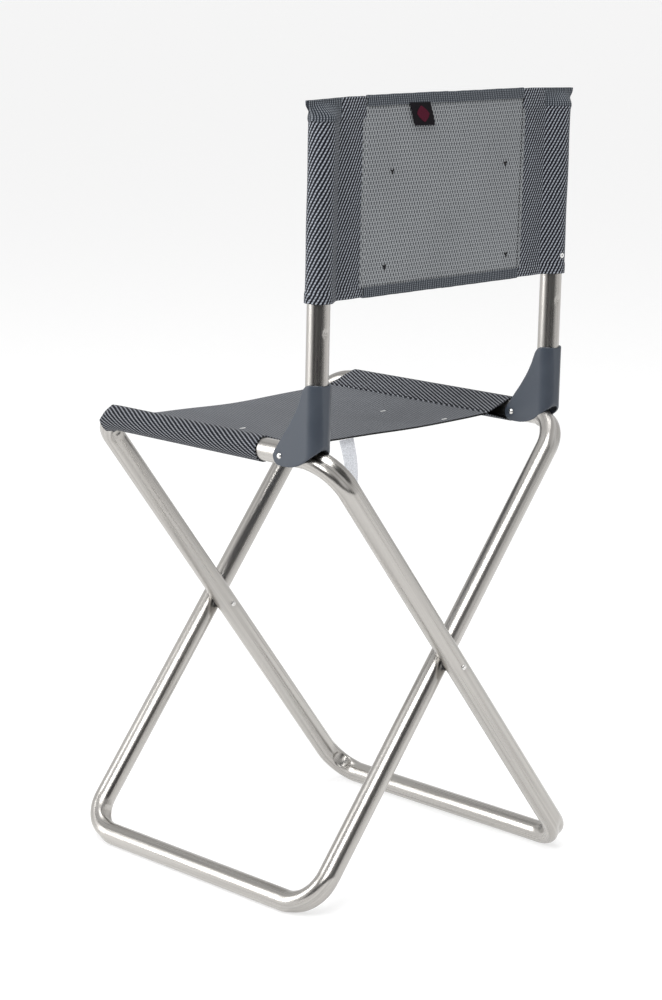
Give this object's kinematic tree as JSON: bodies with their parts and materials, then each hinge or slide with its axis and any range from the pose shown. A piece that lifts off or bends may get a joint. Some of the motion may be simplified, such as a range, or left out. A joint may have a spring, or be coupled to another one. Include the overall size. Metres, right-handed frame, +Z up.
{
  "type": "folding camp chair",
  "caption": "Low folding camp chair: two crossed loops of bent aluminium tube, a sling seat, and a fabric backrest on posts that fold forwards.",
  "frame": {"origin": "on the floor, midway between the two crossed loops", "axes": "+Z up, +Y towards the rear of the chair, +X towards the sitter's left"},
  "size_m": [0.374, 0.3856, 0.7781],
  "materials": {
    "tube": "satin",
    "rivet": "polished",
    "bracket_plastic": "moulded",
    "black_plastic": "moulded",
    "seat_mesh": "coated woven mesh",
    "twill": "twill",
    "back_mesh": "open mesh",
    "dark_tag": "woven tag",
    "white_label": "satin ribbon",
    "eyelet": "moulded"
  },
  "bodies": {
    "frame_left": {"frame_loop_left": "tube", "rail_joint_spigot_left": "tube", "bracket_rivet_left": "rivet", "pivot_rivet_rear": "rivet", "pivot_rivet_front": "rivet", "pivot_washer_rear": "black_plastic", "pivot_washer_front": "black_plastic"},
    "frame_right": {"frame_loop_right": "tube", "rail_joint_spigot_right": "tube", "bracket_rivet_right": "rivet"},
    "back_frame_left": {"bracket_left": "bracket_plastic", "post_left": "tube", "post_cap_left": "black_plastic", "post_rivet_left": "rivet"},
    "back_frame_right": {"bracket_right": "bracket_plastic", "post_right": "tube", "post_cap_right": "black_plastic", "post_rivet_right": "rivet"},
    "seat_left": {"seat_sling_left": "seat_mesh", "care_label": "white_label"},
    "seat_right": {"seat_sling_right": "seat_mesh"},
    "back_cloth_left": {"back_side_left": "twill", "back_mesh_left": "back_mesh", "back_tag": "dark_tag"},
    "back_cloth_right": {"back_side_right": "twill", "back_mesh_right": "back_mesh", "back_eyelet_right": "eyelet"}
  },
  "joints": [
    {"name": "frame_fold", "type": "hinge", "parent": "frame_left", "child": "frame_right", "pos_m": [0, 0, 0.22792], "axis": [0, 1, 0], "range_deg": [0, 58.8]},
    {"name": "back_fold_left", "type": "hinge", "parent": "frame_left", "child": "back_frame_left", "pos_m": [0.172, 0.1234, 0.45], "axis": [1, 0, 0], "range_deg": [0, 90]},
    {"name": "back_fold_right", "type": "hinge", "parent": "frame_right", "child": "back_frame_right", "pos_m": [-0.172, 0.0994, 0.45], "axis": [1, 0, 0], "range_deg": [0, 90]},
    {"name": "seat_drop_left", "type": "hinge", "parent": "frame_left", "child": "seat_left", "pos_m": [0.172, 0, 0.45], "axis": [0, 1, 0], "range_deg": [-46, 0], "deforming": ["seat_sling_left"]},
    {"name": "seat_drop_right", "type": "hinge", "parent": "frame_right", "child": "seat_right", "pos_m": [-0.172, 0, 0.45], "axis": [0, 1, 0], "range_deg": [0, 46], "deforming": ["seat_sling_right"]},
    {"name": "back_swing_left", "type": "hinge", "parent": "back_frame_left", "child": "back_cloth_left", "pos_m": [0.172, 0.1582, 0.45], "axis": [0, 0.014, 0.9999], "range_deg": [0, 53], "deforming": ["back_side_left", "back_mesh_left"]},
    {"name": "back_swing_right", "type": "hinge", "parent": "back_frame_right", "child": "back_cloth_right", "pos_m": [-0.172, 0.1342, 0.45], "axis": [0, 0.014, 0.9999], "range_deg": [-53, 0], "deforming": ["back_side_right", "back_mesh_right"]}
  ],
  "couplings": [
    {"joint": "back_fold_left", "follows": "frame_fold", "ratio": 1.5304},
    {"joint": "back_fold_right", "follows": "frame_fold", "ratio": 1.5304},
    {"joint": "seat_drop_left", "follows": "frame_fold", "ratio": -0.78061},
    {"joint": "seat_drop_right", "follows": "frame_fold", "ratio": 0.78061},
    {"joint": "back_swing_left", "follows": "frame_fold", "ratio": 0.89456},
    {"joint": "back_swing_right", "follows": "frame_fold", "ratio": -0.89456}
  ]
}
